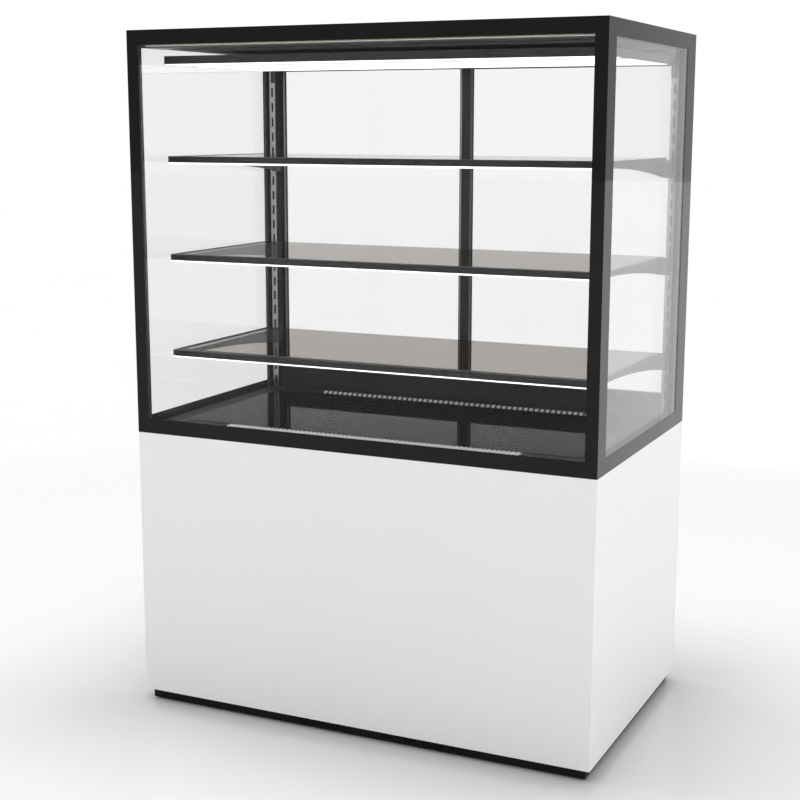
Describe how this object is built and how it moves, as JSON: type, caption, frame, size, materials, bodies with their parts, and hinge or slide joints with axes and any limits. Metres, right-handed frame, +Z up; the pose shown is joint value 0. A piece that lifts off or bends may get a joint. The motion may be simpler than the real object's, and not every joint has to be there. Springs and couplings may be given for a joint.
{
  "type": "heated display case",
  "caption": "Floor-standing heated food display case: double-glazed cabinet with glass shelves, lit canopy and hot deck on a steel base, sliding rear doors.",
  "frame": {"origin": "on the floor, under the middle of the case's overall box", "axes": "+Z up; -Y is the customer's glazed front; +Y is the staff side with the sliding doors; +X is the right side seen from the front"},
  "size_m": [1, 0.606, 1.408],
  "materials": {
    "white_enamel": "satin white powder coat",
    "black_enamel": "black powder coat, satin",
    "black_anodised": "black anodised aluminium section",
    "galvanised": "galvanised sheet steel",
    "stainless": "brushed stainless steel",
    "black_border": "gloss black enamel print behind glass",
    "clear_glass": "clear toughened glass",
    "black_glass": "gloss black glass ceramic",
    "spacer_black": "black warm edge spacer",
    "diffuser_white": "opal light diffuser",
    "zinc": "zinc plated",
    "black_rubber": "black rubber",
    "black_plastic": "black moulded plastic",
    "grey_plastic": "grey moulded plastic",
    "key_plastic": "grey keys",
    "rocker_red": "translucent red",
    "rocker_green": "translucent green",
    "mineral_wool": "foil faced mineral wool board",
    "element_steel": "dull heat tinted steel tube"
  },
  "bodies": {
    "cabinet": {"base_pan": "galvanised", "base_frame": "galvanised", "front_panel": "white_enamel", "side_panel_left": "white_enamel", "side_panel_right": "white_enamel", "rear_service_cover": "white_enamel", "control_panel": "white_enamel", "panel_screws": "zinc", "plinth_front": "black_enamel", "plinth_surround": "black_enamel", "control_box": "grey_plastic", "led_driver": "grey_plastic", "cable_gland": "black_plastic", "controller": "black_plastic", "switch_housings": "black_plastic", "heat_well": "galvanised", "air_ducts": "galvanised", "insulation": "mineral_wool", "heating_elements": "element_steel", "fan_frames": "black_plastic", "deck_surround": "black_enamel", "hot_plate": "black_glass", "air_grilles": "stainless", "front_glass": "clear_glass", "side_glass_left": "clear_glass", "side_glass_right": "clear_glass", "glass_borders": "black_border", "glass_spacers": "spacer_black", "roof_panel": "black_enamel", "roof_liner": "black_enamel", "rear_posts": "black_anodised", "header_track": "black_anodised", "sill_track": "black_anodised", "slotted_strips": "stainless", "shelf_brackets": "black_enamel", "shelf_glasses": "clear_glass", "shelf_front_profiles": "black_anodised", "led_strips": "diffuser_white", "canopy_frame": "black_anodised", "canopy_diffuser": "diffuser_white", "temp_probe": "stainless"},
    "door_left": {"door_frame_left": "black_anodised", "door_glass_left": "clear_glass", "door_pull_left": "black_plastic", "door_glides_left": "black_plastic"},
    "door_right": {"door_frame_right": "black_anodised", "door_glass_right": "clear_glass", "door_pull_right": "black_plastic", "door_glides_right": "black_plastic"},
    "fan_left": {"fan_impeller_left": "black_plastic"},
    "fan_right": {"fan_impeller_right": "black_plastic"},
    "set_key": {"key_set": "key_plastic"},
    "down_key": {"key_down": "key_plastic"},
    "up_key": {"key_up": "key_plastic"},
    "power_switch": {"power_rocker": "rocker_red"},
    "light_switch": {"light_rocker": "rocker_green"},
    "foot_front_left": {"levelling_foot_front_left": "black_rubber"},
    "foot_front_right": {"levelling_foot_front_right": "black_rubber"},
    "foot_rear_left": {"levelling_foot_rear_left": "black_rubber"},
    "foot_rear_right": {"levelling_foot_rear_right": "black_rubber"}
  },
  "joints": [
    {"name": "left_door_slide", "type": "slide", "parent": "cabinet", "child": "door_left", "axis": [1, 0, 0], "range_m": [0, 0.455]},
    {"name": "right_door_slide", "type": "slide", "parent": "cabinet", "child": "door_right", "axis": [1, 0, 0], "range_m": [-0.455, 0]},
    {"name": "left_fan_spin", "type": "hinge", "parent": "cabinet", "child": "fan_left", "pos_m": [-0.2, 0.168, 0.571], "axis": [0, 1, 0], "continuous": true},
    {"name": "right_fan_spin", "type": "hinge", "parent": "cabinet", "child": "fan_right", "pos_m": [0.2, 0.168, 0.571], "axis": [0, 1, 0], "continuous": true},
    {"name": "power_rocker_tilt", "type": "hinge", "parent": "cabinet", "child": "power_switch", "pos_m": [-0.245, 0.295, 0.525], "axis": [1, 0, 0], "range_deg": [0, 24]},
    {"name": "light_rocker_tilt", "type": "hinge", "parent": "cabinet", "child": "light_switch", "pos_m": [-0.205, 0.295, 0.525], "axis": [1, 0, 0], "range_deg": [0, 24]},
    {"name": "set_key_press", "type": "slide", "parent": "cabinet", "child": "set_key", "axis": [0, -1, 0], "range_m": [0, 0.001], "stiffness_N_per_m": 400},
    {"name": "down_key_press", "type": "slide", "parent": "cabinet", "child": "down_key", "axis": [0, -1, 0], "range_m": [0, 0.001], "stiffness_N_per_m": 400},
    {"name": "up_key_press", "type": "slide", "parent": "cabinet", "child": "up_key", "axis": [0, -1, 0], "range_m": [0, 0.001], "stiffness_N_per_m": 400},
    {"name": "front_left_foot_turn", "type": "hinge", "parent": "cabinet", "child": "foot_front_left", "pos_m": [-0.43, -0.24, 0.03], "axis": [0, 0, 1], "continuous": true},
    {"name": "front_right_foot_turn", "type": "hinge", "parent": "cabinet", "child": "foot_front_right", "pos_m": [0.43, -0.24, 0.03], "axis": [0, 0, 1], "continuous": true},
    {"name": "rear_left_foot_turn", "type": "hinge", "parent": "cabinet", "child": "foot_rear_left", "pos_m": [-0.43, 0.225, 0.03], "axis": [0, 0, 1], "continuous": true},
    {"name": "rear_right_foot_turn", "type": "hinge", "parent": "cabinet", "child": "foot_rear_right", "pos_m": [0.43, 0.225, 0.03], "axis": [0, 0, 1], "continuous": true}
  ]
}
